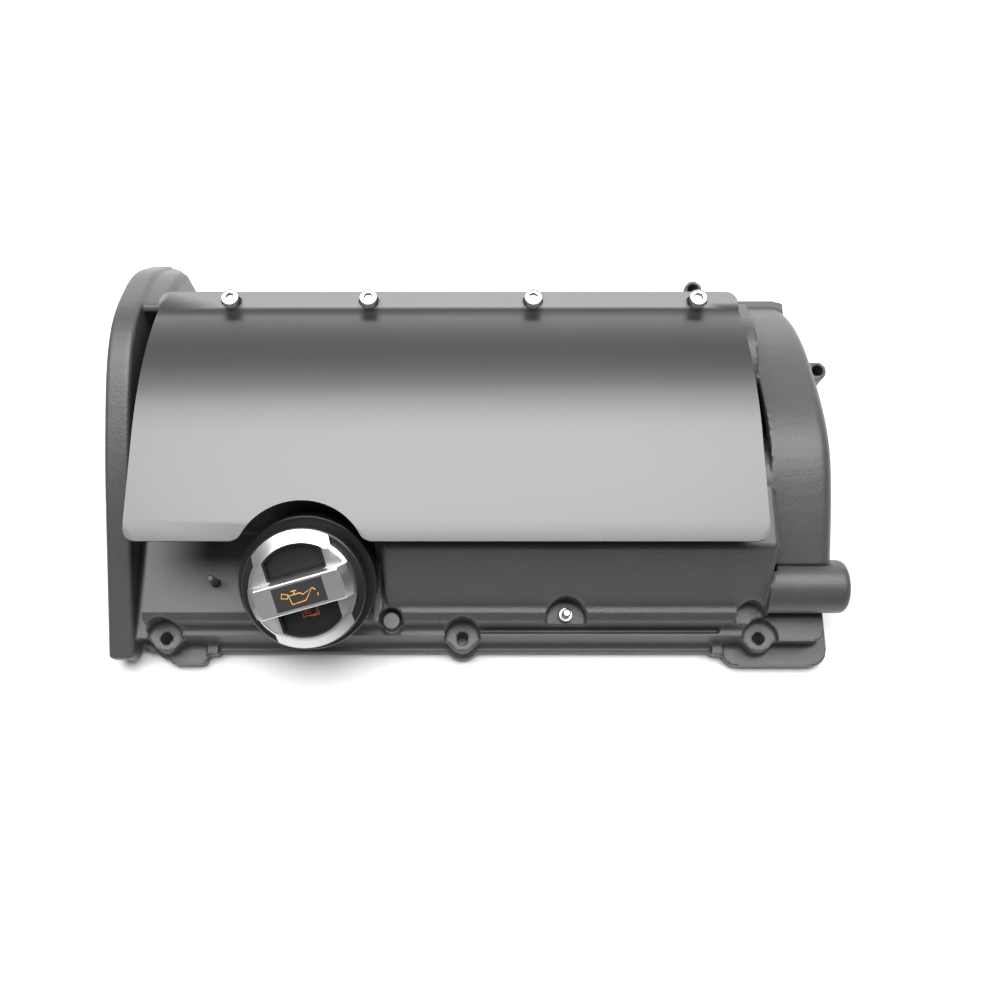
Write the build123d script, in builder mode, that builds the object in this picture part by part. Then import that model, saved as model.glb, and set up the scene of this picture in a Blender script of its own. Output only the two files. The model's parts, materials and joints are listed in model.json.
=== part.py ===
from build123d import *
import os
from math import cos, radians, sin, sqrt

# Camshaft cover of a four-cylinder engine, with its coil shield and oil filler cap.
# +X runs from the timing end to the drive end, +Y to the rear, +Z up, in millimetres.
# z = 0 is the face that seals on the cylinder head. The origin is under the middle of the whole.

# casting
case_left = -198.0
case_right = 202.0
wall = 4.0
flange_left = -210.0
flange_right = 209.0
flange_front = -124.5
flange_rear = 111.0
flange_thickness = 8.0
foot_front = -133.0
deck_height = 40.0
valley_floor = 38.0
cavity_left = -188.0
cavity_right = 192.0

# timing end arch
arch_outer = -221.0
arch_inner = -206.0
arch_front = -130.0
arch_rear = 133.0
arch_rim = 7.0
web_height = 22.0
gusset_right = -190.5
gusset_front = 75.0
gusset_length = gusset_right - arch_inner + 1

# breather box, its outlet tube and the drive end
box_left = -57.0
box_right = 166.0
box_height = 75.0
box_top_front = -75.0
tube_radius = 15.6
tube_bore = 11.0
tube_y = -90.0
tube_z = 38.0
tube_end = 212.0
dome_left = 166.0

# flange bolts and the bores of the valley
bolt_radius = 3.5
boss_height = 20.0
front_bolts = [(-188.0, -118.0), (-11.5, -118.0), (165.0, -118.0)]
rear_bolts = [(-161.0, 105.0), (-10.0, 105.0), (141.0, 113.6)]
end_bolt = (215.2, 52.6)
end_boss_height = 26.0
ear_radius = 5.8
plug_pitch = 88.0
plug_centre = (-20.0, 8.0)
well_radius = 21.0
well_bore = 16.5

# gaskets
gasket_width = 3.5
gasket_play = 0.05
gasket_depth = 4.0
gasket_size = (394.5, 216.5)
gasket_centre = (2.25, -3.75)
gasket_corner = 10.0
gasket_rear = gasket_centre[1] + gasket_size[1] / 2
eyelet_radius = 5.0
seal_inner = 17.5
seal_outer = 20.0
seal_depth = 3.0

# coil shield and its screws
shield_left = -195.0
shield_right = 155.0
shield_thickness = 1.5
strip_top = 69.0
strip_rear = 85.5
crown_top = 93.8
crown_radius = 173.6
crown_end = -16.7
lip_bend = -65.0
lip_end = -76.0
lip_drop = 1.6
screw_xs = [-151.0, -68.0, 31.0, 130.0]
screw_y = 79.0
slot_length = 12.5
slot_width = 7.0
cutout_centre = (-99.0, -90.5)
cutout_radius = 37.0

# oil filler neck and cap, on an axis that leans to the front
cap_x = -98.8
cap_mouth = (cap_x, -90.1, 56.4)
cap_lean = 25.0
neck_radius = 31.0
neck_bore = 21.0
insert_radius = 24.0
insert_lip = 20.6
barrel_radius = 20.0
cap_turned = 16.0
skirt_radius = 39.0
cap_radius = 34.5
trim_radius = 33.4
trim_side = 29.6
trim_base = 20.0
trim_top = 25.0
grip_top = 34.0
grip_width = 17.5
lobe_half_width = 21.9
rim_level = 21.2
slope_start = 27.0
lip_height = 4.2
grip_slope = (5.0, 8.4)
plate_size = (28.5, 13.5)
plate_thickness = 0.8

fit_gap = 0.02
cap_axis = Vector(0, -sin(radians(cap_lean)), cos(radians(cap_lean)))
cap_plane = Plane(
    origin=cap_mouth,
    x_dir=Vector(cos(radians(cap_turned)), sin(radians(cap_turned)) * cos(radians(cap_lean)),
                 sin(radians(cap_turned)) * sin(radians(cap_lean))),
    z_dir=cap_axis,
)
cap_section = Plane(origin=cap_mouth, x_dir=cap_plane.x_dir, z_dir=-cap_plane.y_dir)
plug_xs = [plug_centre[0] + plug_pitch * step for step in (-1.5, -0.5, 0.5, 1.5)]
valley_bolts = [(plug_centre[0] + plug_pitch * step, plug_centre[1]) for step in (-1, 0, 1)]
baffle_screw_xs = [-145.0, -20.0, 105.0]
front_baffle_y = -30.0
rear_baffle_y = 52.0
baffle_height = 42.0
separator_height = 33.0
separator_screws = [(-38.0, -60.0), (-38.0, -86.0), (148.0, -60.0), (148.0, -86.0)]
sheet = 1.5
pin_place = (-155.8, -88.3)
stud_place = (49.0, -106.0)
gallery_plug_place = (-53.0, -109.5)


def save(built, name):
    built.part.label = name
    export_step(built.part, f"parts/{name}.step")


os.makedirs("parts", exist_ok=True)

# Timing end: a deep arch whose outer side is a shallow tray with ribs.
with BuildPart() as arch:
    with BuildSketch(Plane.YZ.offset(arch_outer)) as arch_profile:
        with BuildLine():
            Polyline((arch_rear, 0), (arch_front, 0), (arch_front, 22), (-42, 54.5))
            Spline((-42, 54.5), (15, 71.4), (43, 75.8), (70, 72), (88, 63), (110, 46.8), (arch_rear, 15.5),
                   tangents=[(88, 32.5), (10, -14)])
            Line((arch_rear, 15.5), (arch_rear, 0))
        make_face()
        fillet(arch_profile.vertices().sort_by_distance((arch_outer, arch_front, 22))[0], 14)
    extrude(amount=arch_inner - arch_outer)
    rim_edges = arch.edges().filter_by(GeomType.BSPLINE) + arch.edges().filter_by(GeomType.CIRCLE)
    fillet(rim_edges, 2.5)
    with BuildSketch(Plane.YZ.offset(arch_outer)):
        with BuildLine():
            Polyline((arch_rear - 12, 10), (arch_front + arch_rim, 10), (arch_front + arch_rim, 17),
                     (-40, 47.7))
            Spline((-40, 47.7), (15, 64.4), (43, 68.8), (68, 65.2), (84, 57), (104, 42),
                   (arch_rear - 12, 18.3),
                   tangents=[(88, 32.5), (10, -14)])
            Line((arch_rear - 12, 18.3), (arch_rear - 12, 10))
        make_face()
    extrude(amount=arch_inner - arch_outer - wall - 1, mode=Mode.SUBTRACT)
    for rib_y in (-60, -15, 30, 75):
        with BuildSketch(Plane.YZ.offset(arch_inner - wall - 2)):
            with Locations((rib_y, 8)):
                Rectangle(4, 36 if rib_y < -20 else 48, align=(Align.CENTER, Align.MIN))
        extrude(amount=-6)

# Gusset that carries the arch's rear slope on to the case, with a bevelled outer corner.
with BuildPart() as gusset:
    with BuildSketch(Plane.YZ.offset(arch_inner - 1)):
        with BuildLine():
            Polyline((72, 0), (72, 68.5))
            Spline((72, 68.5), (88, 60.5), (109, 44.8), (131, 15.5), tangents=[(18, -7), (10, -14)])
            Polyline((131, 15.5), (131, 0), (72, 0))
        make_face()
    extrude(amount=gusset_length)
    with BuildSketch(Plane.XY):
        Polygon((arch_inner - 1, gusset_front), (arch_inner - 1, 131), (arch_inner + 6, 131),
                (gusset_right, 117), (gusset_right, gusset_front), align=None)
    extrude(amount=80, mode=Mode.INTERSECT)
    slope_edges = gusset.edges().filter_by(lambda edge: edge.center().X > arch_inner and edge.center().Z > 16)
    chamfer(slope_edges.filter_by(GeomType.LINE, reverse=True), 3)

# Drive end: a domed end cap with a generous round along its outer edge.
with BuildPart() as dome:
    with BuildSketch(Plane.YZ.offset(dome_left)):
        with BuildLine():
            Polyline((108, 0), (-80, 0), (-80, 54))
            Spline((-80, 54), (-42, 67.5), (-15, 72.5), (32, 61.5), (68, 44.5), (103, 12))
            Line((103, 12), (108, 0))
        make_face()
    extrude(amount=case_right - dome_left)
    fillet(dome.edges().filter_by(GeomType.BSPLINE).sort_by(Axis.X)[-1], 8)

# Breather box: a raised chamber with a sloping front.
with BuildPart() as breather_box:
    with BuildSketch(Plane.YZ.offset(box_left)):
        with BuildLine():
            Polyline((-113, 20), (-111, 28), (box_top_front, box_height), (-40, box_height), (-40, 20),
                     close=True)
        make_face()
    extrude(amount=box_right - box_left)
    top_front = breather_box.faces().sort_by(Axis.Z)[-1].edges().sort_by(Axis.Y)[0]
    fillet(top_front, 4)
    fillet(breather_box.faces().sort_by(Axis.X)[0].edges().filter_by(lambda edge: edge.center().Y < -50), 3)
    fillet(breather_box.faces().sort_by(Axis.X)[-1].edges().filter_by(lambda edge: edge.center().Y < -50), 3)

# Outlet tube of the breather, on the front corner of the drive end.
with BuildPart() as outlet_tube:
    with BuildSketch(Plane.YZ.offset(dome_left - 1)):
        with Locations((tube_y, tube_z)):
            Circle(tube_radius)
    extrude(amount=tube_end - dome_left + 1)
    fillet(outlet_tube.edges().sort_by(Axis.X)[-1], 4)

# The gasket's path round the sealing face, bowing inwards round each rear bolt; play is taken off every side.
def gasket_path(play):
    inner_cut = 2 * gasket_width - 2 * play
    with BuildPart() as path:
        with BuildSketch(Plane.XY) as bows:
            with Locations(*rear_bolts[:2]):
                Circle(eyelet_radius + gasket_width - play)
            with Locations((gasket_centre[0], gasket_rear - play)):
                Rectangle(gasket_size[0], gasket_size[1], align=(Align.CENTER, Align.MAX),
                          mode=Mode.INTERSECT)
        with BuildSketch(Plane.XY) as plan:
            with Locations(gasket_centre):
                RectangleRounded(gasket_size[0] - 2 * play, gasket_size[1] - 2 * play, gasket_corner - play)
                RectangleRounded(gasket_size[0] - inner_cut, gasket_size[1] - inner_cut,
                                 gasket_corner - gasket_width + play, mode=Mode.SUBTRACT)
            add(bows.sketch)
            with Locations(*rear_bolts[:2]):
                Circle(eyelet_radius + play, mode=Mode.SUBTRACT)
        extrude(plan.sketch, amount=gasket_depth)
    return path.part


# The cover casting itself.
with BuildPart() as casting:
    # flange with its feet and ears
    with BuildSketch(Plane.XY):
        with Locations(((flange_left + flange_right) / 2, (flange_front + flange_rear) / 2)):
            RectangleRounded(flange_right - flange_left, flange_rear - flange_front, 12)
        with Locations((flange_right, flange_rear)):
            Rectangle(12, 50, mode=Mode.SUBTRACT)
        with Locations((177, (foot_front - 100) / 2)):
            RectangleRounded(64, -100 - foot_front, 10)
        with Locations((-177, -118.5)):
            RectangleRounded(22, 27, 3)
        for ear_x, ear_y in front_bolts:
            with Locations((ear_x, ear_y)):
                Circle(11)
        for ear_x, ear_y in rear_bolts + [end_bolt]:
            with Locations((ear_x, ear_y)):
                Circle(ear_radius)
        with Locations((end_bolt[0] - 8, end_bolt[1])):
            Rectangle(16, 2 * ear_radius)
    extrude(amount=flange_thickness)
    # small tabs beside the front feet
    with BuildSketch(Plane.XY):
        with Locations((-162, -122), (142, -122)):
            Rectangle(6, 9)
    extrude(amount=12)
    # outer shell: front deck, two camshaft humps and the valley between them
    with BuildSketch(Plane.YZ.offset(case_left)):
        with BuildLine():
            Polyline((108, 0), (-122, 0), (-117, 26), (-112.5, 26), (-110, 37), (-106, deck_height),
                     (-58, deck_height), (-48, 62))
            ThreePointArc((-48, 62), (-29, 70), (-11, 62))
            Polyline((-11, 62), (-8, valley_floor), (24, valley_floor), (30, 58))
            ThreePointArc((30, 58), (50, 66), (72, 60))
            Polyline((72, 60), (88, 48), (104, 12), (108, 0))
        make_face()
    extrude(amount=dome_left - case_left)
    add(dome.part)
    add(breather_box.part)
    add(arch.part)
    # web between the arch and the case, and the rear corner that ties it to the flange
    with BuildSketch(Plane.XY):
        with Locations((arch_inner - 1, -118)):
            Rectangle(12, 224, align=(Align.MIN, Align.MIN))
    extrude(amount=web_height)
    add(gusset.part)
    # front corner under the outlet tube
    with BuildSketch(Plane.XY):
        with Locations((184, -97)):
            RectangleRounded(38, 46, 6)
    extrude(amount=24)
    # inside: one open cavity with both camshaft tunnels
    with BuildSketch(Plane.YZ.offset(cavity_left)):
        with BuildLine():
            Polyline((98, 0), (-105, 0), (-103, 20), (-90, 36), (-54, 36), (-44, 59))
            ThreePointArc((-44, 59), (-29, 65.5), (-15.5, 59))
            Polyline((-15.5, 59), (-12.5, 34), (28.5, 34), (34, 54.5))
            ThreePointArc((34, 54.5), (50, 61.5), (69, 56))
            Polyline((69, 56), (84, 45), (97, 10), (98, 0))
        make_face()
    extrude(amount=dome_left - cavity_left, mode=Mode.SUBTRACT)
    with BuildSketch(Plane.YZ.offset(box_left + wall)):
        with BuildLine():
            Polyline((-90, 30), (-90, 40), (-69, box_height - wall), (-44, box_height - wall), (-44, 30),
                     close=True)
        make_face()
    extrude(amount=box_right - box_left - 2 * wall, mode=Mode.SUBTRACT)
    with BuildSketch(Plane.YZ.offset(dome_left - 1)):
        with BuildLine():
            Polyline((98, 0), (-76, 0), (-76, 49))
            Spline((-76, 49), (-42, 62), (-15, 67), (32, 56), (66, 39), (97, 9))
            Line((97, 9), (98, 0))
        make_face()
    extrude(amount=cavity_right - dome_left + 1, mode=Mode.SUBTRACT)
    with BuildSketch(Plane.XY):
        with Locations((dome_left - 1, -105)):
            Rectangle(cavity_right - dome_left + 1, 30, align=(Align.MIN, Align.MIN))
    extrude(amount=18, mode=Mode.SUBTRACT)
    add(outlet_tube.part)
    # wells for the spark plugs and tubes for the valley bolts
    with BuildSketch(Plane.XY):
        for well_x in plug_xs:
            with Locations((well_x, plug_centre[1])):
                Circle(well_radius)
        for bolt_x, bolt_y in valley_bolts:
            with Locations((bolt_x, bolt_y)):
                Circle(8)
    extrude(amount=valley_floor)
    with BuildSketch(Plane.XY.offset(24)):
        with Locations((plug_centre[0] + 8, plug_centre[1])):
            Rectangle(340, 3)
    extrude(amount=12)
    # bosses: front bolts, rear bolts, end bolt, shield screws, inner sheet screws, pin and stud
    with BuildSketch(Plane.XY):
        for bolt_x, bolt_y in front_bolts:
            with Locations((bolt_x, bolt_y)):
                Circle(8)
                Polygon((-13.5, 1.5), (-5, 7.5), (5, 7.5), (13.5, 1.5), (5, -6), (-5, -6), align=None)
        for bolt_x, bolt_y in rear_bolts:
            with Locations((bolt_x, bolt_y)):
                Circle(ear_radius)
            with Locations((bolt_x, bolt_y - 6)):
                Rectangle(2 * ear_radius, 12)
    extrude(amount=boss_height)
    with BuildSketch(Plane.XY):
        with Locations(end_bolt):
            Circle(ear_radius)
        with Locations((end_bolt[0] - 8, end_bolt[1])):
            Rectangle(16, 2 * ear_radius)
    extrude(amount=end_boss_height)
    with BuildSketch(Plane.XY.offset(44)):
        for screw_x in screw_xs:
            with Locations((screw_x, screw_y)):
                Circle(7)
    extrude(amount=strip_top - shield_thickness - 44)
    for baffle_y, boss_top in ((front_baffle_y, 67), (rear_baffle_y, 63)):
        with BuildSketch(Plane.XY.offset(baffle_height + sheet)):
            for screw_x in baffle_screw_xs:
                with Locations((screw_x, baffle_y)):
                    Circle(4.5)
        extrude(amount=boss_top - baffle_height - sheet)
    with BuildSketch(Plane.XY.offset(separator_height + sheet)):
        for screw_x, boss_y in separator_screws:
            with Locations((screw_x, boss_y)):
                Circle(4.5)
    extrude(amount=48 - separator_height - sheet)
    with BuildSketch(Plane.XY.offset(separator_height + sheet)):
        for screw_x in (-38.0, 148.0):
            with Locations((screw_x, -60)):
                Circle(4.5)
    extrude(amount=73 - separator_height - sheet)
    with BuildSketch(Plane.XY.offset(30)):
        with Locations(pin_place):
            Circle(5)
    extrude(amount=deck_height - 30)
    with BuildSketch(Plane.XY.offset(20)):
        with Locations(gallery_plug_place):
            Circle(6.4)
    extrude(amount=13)
    # raised rim beside the box
    with BuildSketch(Plane.XY.offset(30)):
        with Locations((-60.5, -87)):
            Rectangle(5, 48)
    extrude(amount=12)
    # oil filler neck
    with BuildSketch(cap_plane.offset(-34)):
        Circle(neck_radius)
    extrude(amount=34)

    # openings: neck, outlet, plug wells and every bolt and screw hole
    with BuildSketch(cap_plane.offset(-40)):
        Circle(neck_bore)
    extrude(amount=40, mode=Mode.SUBTRACT)
    with BuildSketch(cap_plane.offset(-14)):
        Circle(insert_radius + fit_gap)
    extrude(amount=14, mode=Mode.SUBTRACT)
    with BuildSketch(Plane.YZ.offset(box_right + 3)):
        with Locations((tube_y, tube_z)):
            Circle(tube_bore)
    extrude(amount=tube_end - box_right - 3, mode=Mode.SUBTRACT)
    with BuildSketch(Plane.YZ.offset(box_right - 8)):
        with Locations((tube_y + 6, tube_z + 6)):
            Circle(8)
    extrude(amount=12, mode=Mode.SUBTRACT)
    with BuildSketch(Plane.XY):
        for well_x in plug_xs:
            with Locations((well_x, plug_centre[1])):
                Circle(well_bore)
        for place in valley_bolts + front_bolts + rear_bolts + [end_bolt]:
            with Locations(place):
                Circle(bolt_radius)
    extrude(amount=valley_floor, mode=Mode.SUBTRACT)
    # room over the front bolts for a socket, and the pockets in the box's sloping front
    with BuildSketch(Plane.XY.offset(boss_height)):
        for place in front_bolts:
            with Locations(place):
                Circle(10.5)
    extrude(amount=40, mode=Mode.SUBTRACT)
    with BuildSketch(Plane.XY.offset(30)):
        with Locations((stud_place[0], -109)):
            Circle(12)
        with Locations((157, -108)):
            Circle(9)
        with Locations(gallery_plug_place):
            Circle(6.8)
    extrude(amount=40, mode=Mode.SUBTRACT)
    with BuildSketch(Plane.XY.offset(boss_height)):
        for place in rear_bolts[:2]:
            with Locations(place):
                Circle(7)
    extrude(amount=12, mode=Mode.SUBTRACT)
    # groove between the two ridges that run along the front
    with BuildSketch(Plane.XY.offset(22)):
        with Locations((66, -114)):
            Rectangle(150, 2.6)
    extrude(amount=12, mode=Mode.SUBTRACT)
    # gasket groove, plug seal grooves
    add(gasket_path(0), mode=Mode.SUBTRACT)
    with BuildSketch(Plane.XY):
        for well_x in plug_xs:
            with Locations((well_x, plug_centre[1])):
                Circle(seal_outer)
                Circle(seal_inner, mode=Mode.SUBTRACT)
    extrude(amount=seal_depth, mode=Mode.SUBTRACT)
    # threads and seats of the small pieces
    with BuildSketch(Plane.XY.offset(54)):
        for screw_x in screw_xs:
            with Locations((screw_x, screw_y)):
                Circle(4.2 + fit_gap)
    extrude(amount=14, mode=Mode.SUBTRACT)
    with BuildSketch(Plane.XY.offset(baffle_height)):
        for screw_x in baffle_screw_xs:
            with Locations((screw_x, front_baffle_y), (screw_x, rear_baffle_y)):
                Circle(2.5 + fit_gap)
    extrude(amount=12, mode=Mode.SUBTRACT)
    with BuildSketch(Plane.XY.offset(separator_height)):
        for place in separator_screws:
            with Locations(place):
                Circle(2.5 + fit_gap)
    extrude(amount=11, mode=Mode.SUBTRACT)
    with BuildSketch(Plane.XY.offset(32)):
        with Locations(pin_place):
            Circle(2 + fit_gap)
    extrude(amount=12, mode=Mode.SUBTRACT)
    with BuildSketch(Plane.XY.offset(22)):
        with Locations(stud_place):
            Circle(2.5 + fit_gap)
    extrude(amount=9, mode=Mode.SUBTRACT)
    with BuildSketch(Plane.XY.offset(28)):
        with Locations(gallery_plug_place):
            Circle(5 + fit_gap)
    extrude(amount=8, mode=Mode.SUBTRACT)
save(casting, "cover_casting")

# Rubber gasket in the groove of the sealing face.
with BuildPart() as gasket:
    add(gasket_path(gasket_play))
save(gasket, "perimeter_gasket")

# One rubber ring under each plug well.
for number, well_x in enumerate(plug_xs, start=1):
    with BuildPart() as well_seal:
        with BuildSketch(Plane.XY):
            with Locations((well_x, plug_centre[1])):
                Circle(seal_outer - 0.05)
                Circle(seal_inner + 0.05, mode=Mode.SUBTRACT)
        extrude(amount=seal_depth)
    save(well_seal, f"plug_well_seal_{number}")

# Oil baffles under the two camshaft humps: pressed sheets with a flanged edge and drain slots.
for name, baffle_y, rear_edge, front_edge in (
    ("front_oil_baffle", front_baffle_y, -17.0, -46.0),
    ("rear_oil_baffle", rear_baffle_y, 70.0, 34.0),
):
    with BuildPart() as baffle:
        with BuildSketch(Plane.XY.offset(baffle_height)):
            with Locations((-20, (rear_edge + front_edge) / 2)):
                RectangleRounded(310, rear_edge - front_edge, 5)
            for drain_x in (-120, -70, 30, 80):
                with Locations((drain_x, baffle_y)):
                    SlotOverall(24, 5, mode=Mode.SUBTRACT)
            for screw_x in baffle_screw_xs:
                with Locations((screw_x, baffle_y)):
                    Circle(2.7, mode=Mode.SUBTRACT)
        extrude(amount=sheet)
        with BuildSketch(Plane.XY.offset(baffle_height + sheet)):
            with Locations((-20, rear_edge - sheet / 2), (-20, front_edge + sheet / 2)):
                Rectangle(296, sheet)
        extrude(amount=3)
    save(baffle, name)

# Plate that closes the breather box from below, with its inlet at the far end from the outlet.
with BuildPart() as separator:
    with BuildSketch(Plane.XY.offset(separator_height)):
        with Locations((55, -67.5)):
            RectangleRounded(208, 43, 4)
        for hole_step in range(4):
            with Locations((-14 + 12 * hole_step, -76), (-14 + 12 * hole_step, -64)):
                Circle(4, mode=Mode.SUBTRACT)
        for place in separator_screws:
            with Locations(place):
                Circle(2.7, mode=Mode.SUBTRACT)
    extrude(amount=sheet)
save(separator, "breather_separator")

# Knitted pad that catches oil mist in front of the outlet.
with BuildPart() as mist_pad:
    with BuildSketch(Plane.YZ.offset(92)):
        with BuildLine():
            Polyline((-84, separator_height + sheet), (-84, 44), (-68.5, 67), (-46, 67),
                     (-46, separator_height + sheet), close=True)
        make_face()
    extrude(amount=22)
save(mist_pad, "mist_pad")


def sheet_screw(place, seat):
    """Pan-head screw whose head bears on the underside of a sheet at height seat."""
    with BuildPart() as screw:
        with BuildSketch(Plane.XY.offset(seat - 2.6)):
            with Locations(place):
                Circle(4.2)
        extrude(amount=2.6)
        fillet(screw.edges().sort_by(Axis.Z)[0], 1.2)
        with BuildSketch(Plane.XY.offset(seat)):
            with Locations(place):
                Circle(2.5)
        extrude(amount=10)
        with BuildSketch(Plane.XY.offset(seat - 2.6)):
            with Locations(place):
                RegularPolygon(1.6, 6)
        extrude(amount=1.6, mode=Mode.SUBTRACT)
    return screw


baffle_places = [(x, front_baffle_y) for x in baffle_screw_xs] + [(x, rear_baffle_y) for x in baffle_screw_xs]
for number, place in enumerate(baffle_places, start=1):
    save(sheet_screw(place, baffle_height), f"baffle_screw_{number}")
for number, place in enumerate(separator_screws, start=1):
    save(sheet_screw(place, separator_height), f"separator_screw_{number}")


def shield_line(depth):
    """Points of the shield's section at a depth below its upper face, from the rear edge to the lip."""
    radius = crown_radius - depth
    centre_z = crown_top - crown_radius
    strip_z = strip_top - depth
    crease_y = crown_end + sqrt(radius ** 2 - (strip_z - centre_z) ** 2)
    middle_y = (crease_y + crown_end) / 2
    middle_z = centre_z + sqrt(radius ** 2 - (middle_y - crown_end) ** 2)
    flat_z = crown_top - depth
    return (strip_rear, strip_z), (crease_y, strip_z), (middle_y, middle_z), (crown_end, flat_z), \
        (lip_bend, flat_z), (lip_end, flat_z - lip_drop)


# Coil shield: one bent sheet, flat along its screws and bowed over the valley, cut round the filler neck.
with BuildPart() as shield:
    with BuildSketch(Plane.YZ.offset(shield_left)):
        with BuildLine():
            upper = shield_line(0)
            lower = shield_line(shield_thickness)
            for points in (upper, lower):
                Line(points[0], points[1])
                ThreePointArc(points[1], points[2], points[3])
                Polyline(points[3], points[4], points[5])
            Line(upper[0], lower[0])
            Line(upper[5], lower[5])
        make_face()
    extrude(amount=shield_right - shield_left)
    with BuildSketch(Plane.XY.offset(50)) as shield_plan:
        with BuildLine():
            Polyline((shield_left, strip_rear), (shield_left, lip_end), (shield_right, lip_end),
                     (shield_right, strip_rear), close=True)
        make_face()
        with Locations(cutout_centre):
            Circle(cutout_radius, mode=Mode.SUBTRACT)
        fillet(shield_plan.vertices(), 7)
        for screw_x in screw_xs:
            with Locations((screw_x, screw_y)):
                SlotOverall(slot_length, slot_width, mode=Mode.SUBTRACT)
    extrude(amount=60, mode=Mode.INTERSECT)
save(shield, "coil_shield")

# Socket-head screws of the shield and the threaded inserts that they hold in.
for number, screw_x in enumerate(screw_xs, start=1):
    with BuildPart() as insert:
        with BuildSketch(Plane.XY.offset(54.5)):
            with Locations((screw_x, screw_y)):
                Circle(4.2)
                Circle(3.02, mode=Mode.SUBTRACT)
        extrude(amount=12)
    save(insert, f"thread_insert_{number}")
    with BuildPart() as screw:
        with BuildSketch(Plane.XY.offset(strip_top)):
            with Locations((screw_x, screw_y)):
                Circle(5)
        extrude(amount=6)
        chamfer(screw.edges().sort_by(Axis.Z)[-1], 0.6)
        with BuildSketch(Plane.XY.offset(strip_top - 14)):
            with Locations((screw_x, screw_y)):
                Circle(3)
        extrude(amount=14)
        with BuildSketch(Plane.XY.offset(strip_top + 3)):
            with Locations((screw_x, screw_y)):
                RegularPolygon(2.9, 6)
        extrude(amount=3, mode=Mode.SUBTRACT)
    save(screw, f"shield_screw_{number}")

# Pin, stud and plug on the front of the casting.
with BuildPart() as pin:
    with BuildSketch(Plane.XY.offset(32)):
        with Locations(pin_place):
            Circle(2)
    extrude(amount=22)
    chamfer(pin.edges().sort_by(Axis.Z)[-1], 0.7)
save(pin, "locating_pin")
with BuildPart() as stud:
    with BuildSketch(Plane.XY.offset(22)):
        with Locations(stud_place):
            Circle(2.5)
    extrude(amount=19)
    chamfer(stud.edges().sort_by(Axis.Z)[-1], 0.6)
    with BuildSketch(Plane.XY.offset(31)):
        with Locations(stud_place):
            Circle(4.1)
    extrude(amount=3)
save(stud, "bracket_stud")
with BuildPart() as gallery_plug:
    with BuildSketch(Plane.XY.offset(28)):
        with Locations(gallery_plug_place):
            Circle(5)
    extrude(amount=6)
    chamfer(gallery_plug.edges().sort_by(Axis.Z)[-1], 0.5)
save(gallery_plug, "gallery_plug")

# Steel ring pressed into the filler neck: a lip with two gaps, and a turned relief below it.
with BuildPart() as neck_insert:
    with BuildSketch(cap_plane.offset(-14)):
        Circle(insert_radius)
        Circle(insert_radius - 1, mode=Mode.SUBTRACT)
    extrude(amount=10)
    with BuildSketch(cap_plane.offset(-4)):
        Circle(insert_radius)
        Circle(insert_lip, mode=Mode.SUBTRACT)
        with Locations((0, 21.5), (0, -21.5)):
            Rectangle(20, 3.4, mode=Mode.SUBTRACT)
    extrude(amount=4)
save(neck_insert, "filler_neck_insert")

# Outline of the two pockets beside the cap's grip.
with BuildSketch() as pockets:
    Circle(26.5)
    Rectangle(34, 53, mode=Mode.INTERSECT)
    Rectangle(60, grip_width, mode=Mode.SUBTRACT)
    fillet(pockets.vertices(), 2)

# Filler cap. The seal stays square to the neck, and the rest turns on it.
with BuildPart() as cap_seal:
    with BuildSketch(cap_plane.offset(0.05)):
        Circle(30)
        Circle(24.5, mode=Mode.SUBTRACT)
    extrude(amount=1.95)
save(cap_seal, "cap_seal")

with BuildPart() as cap_body:
    with BuildSketch(cap_plane.offset(2.05)):
        Circle(skirt_radius)
    extrude(amount=5)
    with BuildSketch(cap_plane.offset(-4)):
        Circle(skirt_radius)
        Circle(neck_radius + 1.3, mode=Mode.SUBTRACT)
    extrude(amount=6.05)
    fillet(cap_body.faces().sort_by(Axis(cap_mouth, tuple(cap_axis)))[-1].edges(), 1.5)
    with BuildSketch(cap_plane.offset(7)):
        Circle(cap_radius)
    extrude(amount=trim_base - 7)
    fillet(cap_body.faces().sort_by(Axis(cap_mouth, tuple(cap_axis)))[-1].edges(), 2)
    # raised lips inside the trim's two pockets, with a dished floor
    with BuildSketch(cap_plane.offset(trim_base)):
        add(pockets.sketch)
        offset(amount=-fit_gap * 2)
    extrude(amount=lip_height)
    with BuildSketch(cap_plane.offset(trim_base + 0.8)):
        add(pockets.sketch)
        offset(amount=-1.2)
    extrude(amount=lip_height, mode=Mode.SUBTRACT)
save(cap_body, "cap_body")

with BuildPart() as cap_barrel:
    with BuildSketch(cap_plane.offset(-15)):
        Circle(barrel_radius)
        Circle(barrel_radius - 3, mode=Mode.SUBTRACT)
    extrude(amount=17.05)
    with BuildSketch(cap_plane.offset(-12)):
        Circle(22.4)
        Circle(barrel_radius - 1, mode=Mode.SUBTRACT)
        Rectangle(50, 18, mode=Mode.INTERSECT)
    extrude(amount=3)
save(cap_barrel, "cap_barrel")

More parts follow.
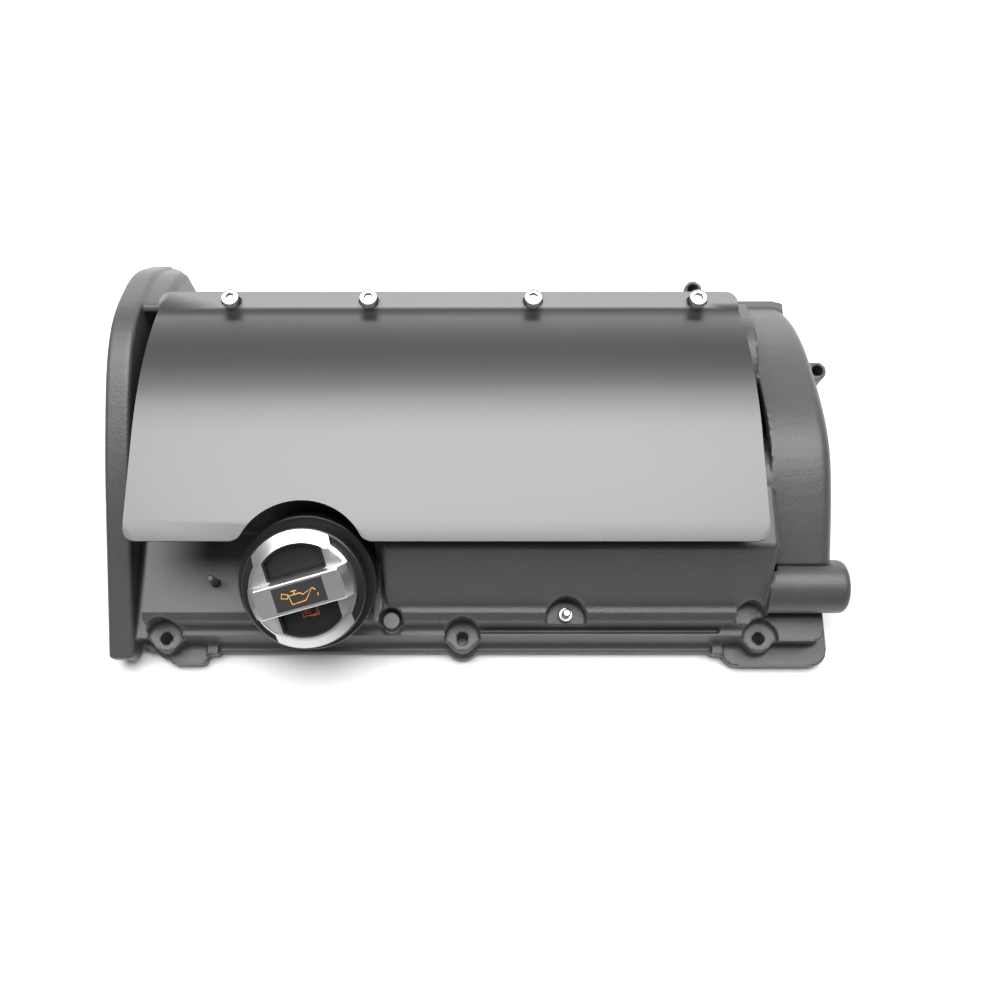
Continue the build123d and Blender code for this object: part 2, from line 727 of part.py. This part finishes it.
with BuildPart() as cap_trim:
    with BuildSketch(cap_plane.offset(trim_base)):
        Circle(trim_radius)
        Rectangle(2 * lobe_half_width, 2 * trim_radius, mode=Mode.INTERSECT)
        Circle(trim_side)
        add(pockets.sketch, mode=Mode.SUBTRACT)
    extrude(amount=trim_top - trim_base)
    # the ring's upper face falls away to its rim
    with BuildSketch(cap_section):
        with BuildLine():
            Polyline((0, trim_base), (trim_radius + 1, trim_base), (trim_radius + 1, rim_level),
                     (trim_radius, rim_level), (slope_start, trim_top), (0, trim_top), (0, trim_base))
        make_face()
    revolve(axis=Axis(cap_mouth, tuple(cap_axis)), mode=Mode.INTERSECT)
    with BuildSketch(cap_plane.offset(trim_base)):
        Circle(trim_side)
        Rectangle(2 * trim_side, grip_width, mode=Mode.INTERSECT)
    extrude(amount=grip_top - trim_base)
    grip_face = cap_trim.faces().sort_by(Axis(cap_mouth, tuple(cap_axis)))[-1]
    chamfer(grip_face.edges().filter_by(GeomType.CIRCLE), grip_slope[0], grip_slope[1], reference=grip_face)
    grip_face = cap_trim.faces().sort_by(Axis(cap_mouth, tuple(cap_axis)))[-1]
    fillet(grip_face.edges().filter_by(GeomType.LINE), 1.2)
    with BuildSketch(cap_plane.offset(grip_top - plate_thickness)):
        Rectangle(*plate_size)
    extrude(amount=plate_thickness, mode=Mode.SUBTRACT)
save(cap_trim, "cap_trim")

with BuildPart() as symbol_plate:
    with BuildSketch(cap_plane.offset(grip_top - plate_thickness)):
        Rectangle(plate_size[0] - 0.1, plate_size[1] - 0.1)
    extrude(amount=plate_thickness)
save(symbol_plate, "symbol_plate")
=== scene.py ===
# Camshaft cover of a four-cylinder engine, with its bolted coil shield and its oil filler cap.
import json
from math import cos, radians, sin

import bpy
from mathutils import Matrix, Vector


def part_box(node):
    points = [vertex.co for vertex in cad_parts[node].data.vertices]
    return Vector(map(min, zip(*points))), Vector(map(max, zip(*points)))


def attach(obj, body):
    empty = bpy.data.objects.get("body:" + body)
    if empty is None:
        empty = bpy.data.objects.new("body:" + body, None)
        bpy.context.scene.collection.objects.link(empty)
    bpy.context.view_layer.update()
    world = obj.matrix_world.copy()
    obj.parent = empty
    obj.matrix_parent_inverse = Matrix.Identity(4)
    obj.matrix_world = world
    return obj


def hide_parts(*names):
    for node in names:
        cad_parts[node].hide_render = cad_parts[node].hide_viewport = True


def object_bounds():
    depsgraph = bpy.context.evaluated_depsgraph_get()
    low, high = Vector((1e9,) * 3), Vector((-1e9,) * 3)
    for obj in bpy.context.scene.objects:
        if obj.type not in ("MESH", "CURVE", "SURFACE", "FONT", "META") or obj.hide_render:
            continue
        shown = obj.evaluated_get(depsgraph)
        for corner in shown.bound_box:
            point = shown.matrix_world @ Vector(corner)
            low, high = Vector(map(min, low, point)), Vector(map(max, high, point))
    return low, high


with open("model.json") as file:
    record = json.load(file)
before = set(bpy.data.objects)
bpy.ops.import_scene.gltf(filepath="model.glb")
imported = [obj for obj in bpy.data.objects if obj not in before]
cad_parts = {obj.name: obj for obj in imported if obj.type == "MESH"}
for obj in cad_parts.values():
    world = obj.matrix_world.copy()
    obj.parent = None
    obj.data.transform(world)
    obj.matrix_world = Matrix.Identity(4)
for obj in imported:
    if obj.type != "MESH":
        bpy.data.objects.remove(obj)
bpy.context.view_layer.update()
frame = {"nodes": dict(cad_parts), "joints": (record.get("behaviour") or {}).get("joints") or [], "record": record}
nodes = frame["nodes"]
mm = 0.001


# Sockets that add and multiply, and the materials made from them.
class Wire:  # a node's output, with the sums that the finishes use
    def __init__(self, tree, socket):
        self.tree = tree
        self.socket = socket

    def maths(self, operation, left, right):
        made = self.tree.nodes.new("ShaderNodeMath")
        made.operation = operation
        for place, value in enumerate((left, right)):
            if isinstance(value, Wire):
                self.tree.links.new(value.socket, made.inputs[place])
            else:
                made.inputs[place].default_value = value
        return Wire(self.tree, made.outputs[0])

    def __add__(self, other):
        return self.maths("ADD", self, other)

    def __radd__(self, other):
        return self.maths("ADD", other, self)

    def __sub__(self, other):
        return self.maths("SUBTRACT", self, other)

    def __rsub__(self, other):
        return self.maths("SUBTRACT", other, self)

    def __mul__(self, other):
        return self.maths("MULTIPLY", self, other)

    def __rmul__(self, other):
        return self.maths("MULTIPLY", other, self)


class Finish:  # one material and the nodes that make it
    def __init__(self, name):
        self.material = bpy.data.materials.new(name)
        self.material.use_nodes = True
        self.tree = self.material.node_tree
        self.tree.nodes.clear()

    def node(self, kind, settings=None, values=None, output=0):
        made = self.tree.nodes.new("ShaderNode" + kind)
        for name, value in (settings or {}).items():
            setattr(made, name, value)
        for name, value in (values or {}).items():
            if isinstance(value, Wire):
                self.tree.links.new(value.socket, made.inputs[name])
            else:
                made.inputs[name].default_value = value
        return Wire(self.tree, made.outputs[output])

    def place(self):
        return self.node("TexCoord", output="Object")

    def noise(self, scale, detail=3.0, roughness=0.5):
        values = {"Vector": self.place(), "Scale": scale, "Detail": detail, "Roughness": roughness}
        return self.node("TexNoise", values=values)

    def between(self, amount, low, high):  # from low to high as amount goes from 0 to 1
        values = {0: amount, 1: 0.0, 2: 1.0, 3: low, 4: high}
        return self.node("MapRange", values=values)

    def tints(self, amount, first, second):
        settings = {"data_type": "RGBA"}
        values = {"Factor": amount, 6: (*first, 1.0), 7: (*second, 1.0)}
        return self.node("Mix", settings, values, output=2)

    def inside(self, value, low, high, soft):  # 1 between low and high, falling to 0 over the soft width
        rise = self.node("MapRange", values={0: value, 1: low - soft, 2: low + soft})
        fall = self.node("MapRange", values={0: value, 1: high - soft, 2: high + soft})
        return rise * (1.0 - fall)

    def bump(self, height, distance, strength=1.0):
        return self.node("Bump", values={"Height": height, "Distance": distance, "Strength": strength})

    def done(self, **sockets):  # the surface, with the names of its sockets run together
        surface = self.tree.nodes.new("ShaderNodeBsdfPrincipled")
        for name, value in sockets.items():
            spaced = "".join(" " + letter if letter.isupper() else letter for letter in name).strip()
            socket = surface.inputs[spaced]
            if isinstance(value, Wire):
                self.tree.links.new(value.socket, socket)
            else:
                socket.default_value = (*value, 1.0) if isinstance(value, tuple) else value
        shown = self.tree.nodes.new("ShaderNodeOutputMaterial")
        self.tree.links.new(surface.outputs[0], shown.inputs["Surface"])
        return self.material


# One finish for each material slot.
def castCoat(name, grain=1.0, boxWrinkle=0.0):
    # satin powder coat over a casting: a fine orange peel over slow waves of the cast skin,
    # and a coarser wrinkle on the breather box
    coat = dict(
        colour=(0.038, 0.038, 0.039), paler=(0.066, 0.066, 0.068),
        peel=1250.0, skin=300.0, wrinkle=620.0,
        boxAlong=(-0.057, 0.166), boxAcross=(-0.114, -0.070), boxSoft=0.004, bumpDepth=0.00028,
    )
    made = Finish(name)
    peel = made.noise(coat["peel"], 2.0, 0.55)
    skin = made.noise(coat["skin"], 3.0, 0.6)
    cloud = made.noise(22.0, 2.0)
    height = peel * 0.7 + skin * 0.35
    if boxWrinkle:
        along = made.node("SeparateXYZ", values={"Vector": made.place()}, output=0)
        across = made.node("SeparateXYZ", values={"Vector": made.place()}, output=1)
        onBox = made.inside(along, *coat["boxAlong"], coat["boxSoft"]) \
            * made.inside(across, *coat["boxAcross"], coat["boxSoft"])
        height = height + onBox * made.noise(coat["wrinkle"], 2.0, 0.7) * boxWrinkle
    return made.done(
        BaseColor=made.tints(cloud * 0.3 + peel * 0.7, coat["colour"], coat["paler"]),
        Roughness=made.between(skin * 0.5 + cloud * 0.5, 0.34, 0.46),
        Normal=made.bump(height, coat["bumpDepth"] * grain, 0.8),
    )


def shieldCoat(name):
    # smooth satin coat on the bent sheet, with a barely visible flow of the paint
    made = Finish(name)
    mist = made.noise(2600.0, 2.0)
    flow = made.noise(9.0, 2.0)
    return made.done(
        BaseColor=made.tints(flow, (0.090, 0.090, 0.090), (0.097, 0.097, 0.097)),
        Metallic=0.9,
        Roughness=made.between(mist * 0.6 + flow * 0.4, 0.36, 0.42),
        Normal=made.bump(mist, 0.00002, 0.35),
    )


def zincPlate(name):
    made = Finish(name)
    cloud = made.noise(420.0, 4.0, 0.6)
    return made.done(
        BaseColor=made.tints(cloud, (0.34, 0.34, 0.35), (0.46, 0.46, 0.47)),
        Metallic=1.0,
        Roughness=made.between(cloud, 0.26, 0.38),
        Normal=made.bump(cloud, 0.00006, 0.3),
    )


def turnedSteel(name, colour=(0.42, 0.42, 0.43)):
    # plain steel with the fine rings that a lathe leaves
    made = Finish(name)
    rings = made.node("TexWave", {"wave_type": "RINGS", "rings_direction": "Z"},
                      {"Vector": made.place(), "Scale": 620.0, "Distortion": 2.0}, output=1)
    stain = made.noise(160.0, 4.0, 0.6)
    return made.done(
        BaseColor=made.tints(stain, tuple(0.7 * part for part in colour), colour),
        Metallic=1.0,
        Roughness=made.between(stain * 0.7 + rings * 0.3, 0.28, 0.46),
        Normal=made.bump(rings, 0.00003, 0.4),
    )


def pressedSheet(name):
    made = Finish(name)
    spangle = made.node("TexVoronoi", {"feature": "F1"}, {"Vector": made.place(), "Scale": 180.0}, output=1)
    grey = made.node("RGBToBW", values={"Color": spangle})
    streak = made.noise(700.0, 3.0)
    return made.done(
        BaseColor=made.tints(grey * 0.6 + streak * 0.4, (0.40, 0.41, 0.43), (0.58, 0.59, 0.61)),
        Metallic=1.0,
        Roughness=made.between(grey, 0.32, 0.46),
        Normal=made.bump(streak, 0.00004, 0.4),
    )


def knittedWire(name):
    made = Finish(name)
    # pale metal wires along the cell edges; the cells between them are painted shade, near black, for the shaded
    # gaps down in the knit
    wires = made.node("TexVoronoi", {"feature": "DISTANCE_TO_EDGE"}, {"Vector": made.place(), "Scale": 620.0})
    edge = made.between(wires, 0.0, 9.0)
    return made.done(
        BaseColor=made.tints(edge, (0.55, 0.55, 0.57), (0.05, 0.05, 0.05)),
        Metallic=made.between(edge, 1.0, 0.2),
        Roughness=0.34,
        Normal=made.bump(1 - edge, 0.0004, 1.0),
    )


def blackRubber(name):
    made = Finish(name)
    dust = made.noise(900.0, 4.0, 0.65)
    return made.done(
        BaseColor=made.tints(dust, (0.012, 0.012, 0.012), (0.024, 0.024, 0.024)),
        Roughness=made.between(dust, 0.55, 0.75),
        Normal=made.bump(dust, 0.00008, 0.5),
    )


def mouldedBlack(name, low=0.006, high=0.011, gloss=0.0):
    # glass-filled nylon with a spark-eroded grain
    made = Finish(name)
    grain = made.noise(1500.0, 3.0, 0.6)
    cloud = made.noise(70.0, 2.0)
    return made.done(
        BaseColor=made.tints(grain * 0.5 + cloud * 0.5, (low, low, low * 1.03), (high, high, high * 1.03)),
        Roughness=made.between(cloud, 0.32 - gloss, 0.42 - gloss),
        Normal=made.bump(grain, 0.00010, 0.45),
    )


def satinSilver(name):
    # satin silver coat: a fine fleck under a smooth surface
    made = Finish(name)
    fleck = made.noise(4200.0, 2.0)
    cloud = made.noise(55.0, 2.0)
    return made.done(
        BaseColor=made.tints(cloud * 0.7 + fleck * 0.3, (0.60, 0.60, 0.61), (0.74, 0.74, 0.745)),
        Metallic=0.95,
        Roughness=made.between(cloud * 0.5 + fleck * 0.5, 0.25, 0.34),
        Normal=made.bump(fleck, 0.00001, 0.25),
    )


def amberPrint(name, colour, darker):
    made = Finish(name)
    ink = made.noise(2400.0, 3.0)
    return made.done(
        BaseColor=made.tints(ink, darker, colour),
        Roughness=made.between(ink, 0.42, 0.58),
        Normal=made.bump(ink, 0.00002, 0.4),
    )


finishes = {
    "cast_black": castCoat("castCoat", 1.0, 1.3),
    "shield_satin": shieldCoat("shieldCoat"),
    "zinc_screw": zincPlate("zincPlate"),
    "plain_steel": turnedSteel("turnedSteel"),
    "painted_insert": castCoat("paintedInsert", 0.5),
    "pressed_sheet": pressedSheet("pressedSheet"),
    "knitted_wire": knittedWire("knittedWire"),
    "seal_rubber": blackRubber("blackRubber"),
    "cap_plastic": mouldedBlack("mouldedBlack"),
    "cap_silver": satinSilver("satinSilver"),
    "symbol_dark": mouldedBlack("symbolDark", 0.022, 0.034, 0.08),
}
slotOfNode = {part["node"]: part["material_slot"] for part in frame["record"]["subparts"]}
for nodeName, node in nodes.items():
    node.data.materials.clear()
    node.data.materials.append(finishes[slotOfNode[nodeName]])
print("finishes made:", len(finishes))


# Modelling by operators, with only the named piece selected.
def nothingSelected():
    bpy.ops.object.select_all(action="DESELECT")


def chosen(piece):
    nothingSelected()
    piece.select_set(True)
    bpy.context.view_layer.objects.active = piece


def applied(piece, kind, **settings):
    chosen(piece)
    modifier = piece.modifiers.new(kind.lower(), kind)
    for name, value in settings.items():
        setattr(modifier, name, value)
    bpy.ops.object.modifier_apply(modifier=modifier.name)


def copyOfNode(nodeName, name):
    # a piece of its own from a node's mesh, with its loose triangles merged
    piece = bpy.data.objects.new(name, nodes[nodeName].data.copy())
    bpy.context.scene.collection.objects.link(piece)
    chosen(piece)
    bpy.ops.object.mode_set(mode="EDIT")
    bpy.ops.mesh.select_all(action="SELECT")
    bpy.ops.mesh.remove_doubles(threshold=0.00001)
    bpy.ops.object.mode_set(mode="OBJECT")
    return piece


def smoothed(piece, degrees=35, weighted=False):
    chosen(piece)
    bpy.ops.object.shade_smooth_by_angle(angle=radians(degrees))
    if weighted:  # so that wide flat faces stay flat beside narrow bevels
        applied(piece, "WEIGHTED_NORMAL", mode="FACE_AREA", weight=100, keep_sharp=True)


def finished(piece, slotName, body, *replacedNodes):
    piece.data.materials.clear()
    piece.data.materials.append(finishes[slotName])
    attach(piece, body)
    if replacedNodes:
        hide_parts(*replacedNodes)
    return piece


# The casting, rounded at its edges as a mould leaves it.
coverShape = dict(voxel=0.0010, quickVoxel=0.0016, rounding=2, triangles=195000)
cover = copyOfNode("cover_casting", "coverCasting")
applied(cover, "REMESH", mode="VOXEL", voxel_size=coverShape["voxel"])
applied(cover, "SMOOTH", factor=0.5, iterations=coverShape["rounding"])
applied(cover, "DECIMATE", ratio=coverShape["triangles"] / (2.0 * len(cover.data.polygons)))
smoothed(cover, 60)
finished(cover, "cast_black", "root", "cover_casting")
print("casting:", len(cover.data.polygons), "faces")


# The coil shield and its four screws.
shieldShape = dict(edge=0.00035, steps=4, crease=28)
shield = copyOfNode("coil_shield", "coilShield")
applied(shield, "BEVEL", width=shieldShape["edge"], segments=shieldShape["steps"], limit_method="ANGLE",
        angle_limit=radians(50))
smoothed(shield, shieldShape["crease"], weighted=True)
finished(shield, "shield_satin", "root", "coil_shield")


def moved(piece, matrix):
    piece.data.transform(matrix)
    return piece


def joined(name, *pieces):
    chosen(pieces[0])
    for piece in pieces:
        piece.select_set(True)
    bpy.ops.object.join()
    pieces[0].name = name
    return pieces[0]


def selectFaces(piece, test):
    # in edit mode, with nothing else selected, the faces that pass the test
    bpy.ops.object.mode_set(mode="EDIT")
    bpy.ops.mesh.select_mode(type="FACE")
    bpy.ops.mesh.select_all(action="DESELECT")
    bpy.ops.object.mode_set(mode="OBJECT")
    for face in piece.data.polygons:
        face.select = test(face)
    bpy.ops.object.mode_set(mode="EDIT")


def cylinder(name, radius, bottom, top, sides):
    nothingSelected()
    bpy.ops.mesh.primitive_cylinder_add(vertices=sides, radius=radius, depth=top - bottom,
                                        location=(0, 0, (top + bottom) / 2))
    piece = bpy.context.active_object
    piece.name = name
    bpy.ops.object.transform_apply(location=True, rotation=True, scale=True)
    return piece


def cutBy(piece, cutter):
    applied(piece, "BOOLEAN", operation="DIFFERENCE", object=cutter, solver="EXACT")
    bpy.data.objects.remove(cutter)


screwShape = dict(
    head=5.0 * mm, height=6.0 * mm, knurls=48, knurlDepth=0.16 * mm, inset=0.12 * mm,
    socket=2.9 * mm, socketDepth=3.0 * mm, shank=3.0 * mm, length=14.0 * mm, edge=0.25 * mm,
)


def socketScrew(name):
    # a socket-head screw standing on z = 0, knurled round its side
    shape = screwShape
    head = cylinder(name, shape["head"], 0.0, shape["height"], 2 * shape["knurls"])
    sides = [face for face in head.data.polygons if abs(face.normal.z) < 0.1]
    grooves = {face.index for face in sides[::2]}
    selectFaces(head, lambda face: face.index in grooves)
    bpy.ops.mesh.inset(thickness=shape["inset"], use_individual=True)
    bpy.ops.transform.shrink_fatten(value=-shape["knurlDepth"])
    bpy.ops.object.mode_set(mode="OBJECT")
    socket = cylinder(name + "Socket", shape["socket"], shape["height"] - shape["socketDepth"],
                      shape["height"] + 1.0 * mm, 6)
    cutBy(head, socket)
    shank = cylinder(name + "Shank", shape["shank"], -shape["length"], 0.5 * mm, 32)
    applied(head, "BEVEL", width=shape["edge"], segments=2, limit_method="ANGLE", angle_limit=radians(60))
    screw = joined(name, head, shank)
    smoothed(screw, 35)
    return screw


firstScrew = socketScrew("shieldScrewOne")
for number, label in enumerate(("One", "Two", "Three", "Four"), start=1):
    nodeName = "shield_screw_%d" % number
    lowest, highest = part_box(nodeName)
    if number == 1:
        screw = firstScrew
        plain = screw.data.copy()
    else:
        screw = bpy.data.objects.new("shieldScrew" + label, plain.copy())
        bpy.context.scene.collection.objects.link(screw)
    middle = (lowest + highest) / 2
    turn = Matrix.Rotation(radians(17.0 * number), 4, "Z")
    moved(screw, Matrix.Translation((middle.x, middle.y, highest.z - screwShape["height"])) @ turn)
    finished(screw, "zinc_screw", "root", nodeName)
print("shield and screws made")


# The stud in the half-moon pocket: one outline turned about its axis.
studShape = dict(
    radius=2.5 * mm, root=2.05 * mm, pitch=0.8 * mm, turns=8,
    collar=4.1 * mm, collarHeight=3.0 * mm, collarBottom=9.0 * mm, rim=0.4 * mm,
)
lowest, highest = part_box("bracket_stud")
studMiddle = (lowest + highest) / 2
nothingSelected()
bpy.ops.mesh.primitive_circle_add(vertices=3, radius=1.0 * mm, fill_type="NOTHING")
stud = bpy.context.active_object
stud.name = "bracketStud"
height = highest.z - lowest.z
collarBottom = studShape["collarBottom"]
rim = studShape["rim"]
outline = [(0.0, 0.0), (studShape["radius"], 0.0), (studShape["radius"], collarBottom),
           (studShape["collar"] - rim, collarBottom), (studShape["collar"], collarBottom + rim),
           (studShape["collar"], collarBottom + studShape["collarHeight"] - rim),
           (studShape["collar"] - rim, collarBottom + studShape["collarHeight"])]
start = height - studShape["turns"] * studShape["pitch"] - 0.5 * mm
outline.append((studShape["root"], collarBottom + studShape["collarHeight"]))
for turn in range(studShape["turns"]):
    outline.append((studShape["root"], start + turn * studShape["pitch"]))
    outline.append((studShape["radius"], start + (turn + 0.4) * studShape["pitch"]))
    outline.append((studShape["radius"], start + (turn + 0.6) * studShape["pitch"]))
outline += [(studShape["root"], height - 0.4 * mm), (studShape["root"] - 0.4 * mm, height), (0.0, height)]
stud.data.clear_geometry()
stud.data.from_pydata([(radius, 0.0, level) for radius, level in outline],
                      [(step, step + 1) for step in range(len(outline) - 1)], [])
bpy.ops.object.mode_set(mode="EDIT")
bpy.ops.mesh.select_all(action="SELECT")
bpy.ops.mesh.spin(steps=32, angle=radians(360), center=(0, 0, 0), axis=(0, 0, 1))
bpy.ops.mesh.select_all(action="SELECT")
bpy.ops.mesh.remove_doubles(threshold=0.01 * mm)
bpy.ops.mesh.normals_make_consistent(inside=False)
bpy.ops.object.mode_set(mode="OBJECT")
moved(stud, Matrix.Translation((studMiddle.x, studMiddle.y, lowest.z)))
smoothed(stud, 35)
finished(stud, "zinc_screw", "root", "bracket_stud")


# The filler cap, in a frame of its own that leans with the neck.
capShape = dict(lean=25.0, turned=16.0, trimEdge=0.5 * mm, bodyEdge=0.35 * mm, plateLevel=34.0 * mm,
                pocketLevel=20.8 * mm, stroke=0.28 * mm)
capJoint = [joint for joint in frame["joints"] if joint["name"] == "cap_turn"][0]
capMouth = Vector(capJoint["pos_m"])
capAxis = Vector(capJoint["axis"]).normalized()
capAcross = Vector((cos(radians(capShape["turned"])),
                    sin(radians(capShape["turned"])) * cos(radians(capShape["lean"])),
                    sin(radians(capShape["turned"])) * sin(radians(capShape["lean"]))))
capUp = capAxis.cross(capAcross)
capFrame = Matrix((
    (capAcross.x, capUp.x, capAxis.x, capMouth.x),
    (capAcross.y, capUp.y, capAxis.y, capMouth.y),
    (capAcross.z, capUp.z, capAxis.z, capMouth.z),
    (0, 0, 0, 1),
))

for nodeName, name, edge, slotName in (("cap_trim", "capTrim", capShape["trimEdge"], "cap_silver"),
                                       ("cap_body", "capBody", capShape["bodyEdge"], "cap_plastic")):
    piece = copyOfNode(nodeName, name)
    applied(piece, "BEVEL", width=edge, segments=3, limit_method="ANGLE", angle_limit=radians(40))
    smoothed(piece, 60, weighted=True)
    finished(piece, slotName, "cap", nodeName)


def drawn(name, lines, level, finish):
    # raised strokes on the cap, from lines of points in millimetres along and across the grip
    strokes = []
    for number, (closed, points) in enumerate(lines):
        line = bpy.data.curves.new(name + str(number), "CURVE")
        line.dimensions = "3D"
        line.bevel_depth = capShape["stroke"]
        line.bevel_resolution = 2
        line.use_fill_caps = True
        spline = line.splines.new("POLY")
        spline.points.add(len(points) - 1)
        for point, (along, across) in zip(spline.points, points):
            point.co = (along * mm, across * mm, 0.0, 1.0)
        spline.use_cyclic_u = closed
        stroke = bpy.data.objects.new(name + str(number), line)
        bpy.context.scene.collection.objects.link(stroke)
        chosen(stroke)
        bpy.ops.object.convert(target="MESH")
        strokes.append(bpy.context.active_object)
    symbol = joined(name, *strokes)
    flat = Matrix.Diagonal((1.0, 1.0, 0.45, 1.0))
    moved(symbol, capFrame @ Matrix.Translation((0, 0, level)) @ flat)
    smoothed(symbol, 50)
    symbol.data.materials.clear()
    symbol.data.materials.append(finish)
    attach(symbol, "cap")
    return symbol


oilCan = [
    (True, [(-9.1, 3.0), (-9.9, 0.5), (-6.6, -0.5), (-5.8, 1.5)]),
    (True, [(-5.7, 0.9), (0.8, 1.0), (1.9, -0.3), (7.7, 2.0), (2.6, -3.8), (-5.0, -4.2)]),
    (False, [(7.7, 2.0), (9.2, 0.4)]),
    (False, [(-2.4, 1.0), (-2.4, 2.9)]),
    (False, [(-4.0, 2.9), (-0.8, 2.9)]),
    (False, [(9.9, -1.4), (9.8, -2.9)]),
]
openBook = [
    (True, [(-0.2, -15.6), (-0.2, -10.8), (-2.2, -10.2), (-4.4, -10.8), (-4.4, -15.6), (-2.2, -15.0)]),
    (True, [(-0.2, -15.6), (-0.2, -10.8), (2.0, -10.2), (3.6, -10.6), (3.6, -15.2), (2.0, -15.0)]),
    (False, [(3.6, -10.6), (4.6, -11.0), (4.6, -15.8), (0.6, -16.0)]),
    (False, [(-3.3, -12.2), (-1.3, -12.2)]),
    (False, [(-3.3, -13.4), (-1.3, -13.4)]),
]
amber = amberPrint("amberPrint", (0.78, 0.40, 0.09), (0.66, 0.31, 0.06))
drawn("oilCanSymbol", oilCan, capShape["plateLevel"], amber)
orange = amberPrint("orangePrint", (0.80, 0.25, 0.06), (0.66, 0.18, 0.04))
drawn("openBookSymbol", openBook, capShape["pocketLevel"], orange)
print("cap made")


# The pale floor, the lamps and the camera.
studio = dict(
    cameraPlace=(-0.010, -0.206, 0.6156), cameraTilt=16.3, lens=36.0, shift=0.035,
    floorSize=6.0, floorDrop=0.0004,
)
low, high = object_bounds()

nothingSelected()
bpy.ops.mesh.primitive_plane_add(size=studio["floorSize"], location=(0, 0, low[2] - studio["floorDrop"]))
floor = bpy.context.active_object
floor.name = "studioFloor"
paper = Finish("studioPaper")
fibre = paper.noise(240.0, 4.0)
floor.data.materials.append(paper.done(
    BaseColor=paper.tints(fibre, (0.86, 0.86, 0.86), (0.90, 0.90, 0.90)),
    Roughness=0.9,
))


def softbox(name, place, aim, size, power):
    lamp = bpy.data.lights.new(name, "AREA")
    lamp.shape = "RECTANGLE"
    lamp.size, lamp.size_y = size
    lamp.energy = power
    stand = bpy.data.objects.new(name, lamp)
    stand.location = place
    stand.rotation_euler = (Vector(aim) - Vector(place)).to_track_quat("-Z", "Y").to_euler()
    bpy.context.scene.collection.objects.link(stand)
    return stand


lampAim = (0.0, 0.0, 0.05)
lamps = (
    ("overheadSoftbox", (0.0, 0.36, 1.34), (2.0, 1.05), 52.0),
    ("rearStrip", (0.0, 1.7, 0.12), (2.6, 0.4), 16.0),
    ("frontFill", (-0.6, -1.4, 0.9), (1.2, 0.8), 1.5),
)
for name, place, size, power in lamps:
    softbox(name, place, lampAim, size, power)

world = bpy.data.worlds.new("studioWorld")
world.use_nodes = True
world.node_tree.nodes["Background"].inputs["Color"].default_value = (1.0, 1.0, 1.0, 1.0)
world.node_tree.nodes["Background"].inputs["Strength"].default_value = 0.16
bpy.context.scene.world = world
bpy.context.scene.view_settings.view_transform = "Standard"

camera = bpy.data.cameras.new("studioCamera")
camera.lens = studio["lens"]
camera.sensor_width = 36.0
camera.shift_x = studio["shift"]
stand = bpy.data.objects.new("studioCamera", camera)
stand.location = studio["cameraPlace"]
stand.rotation_euler = (radians(studio["cameraTilt"]), 0.0, 0.0)
bpy.context.scene.collection.objects.link(stand)
bpy.context.scene.camera = stand

print("scene ready")
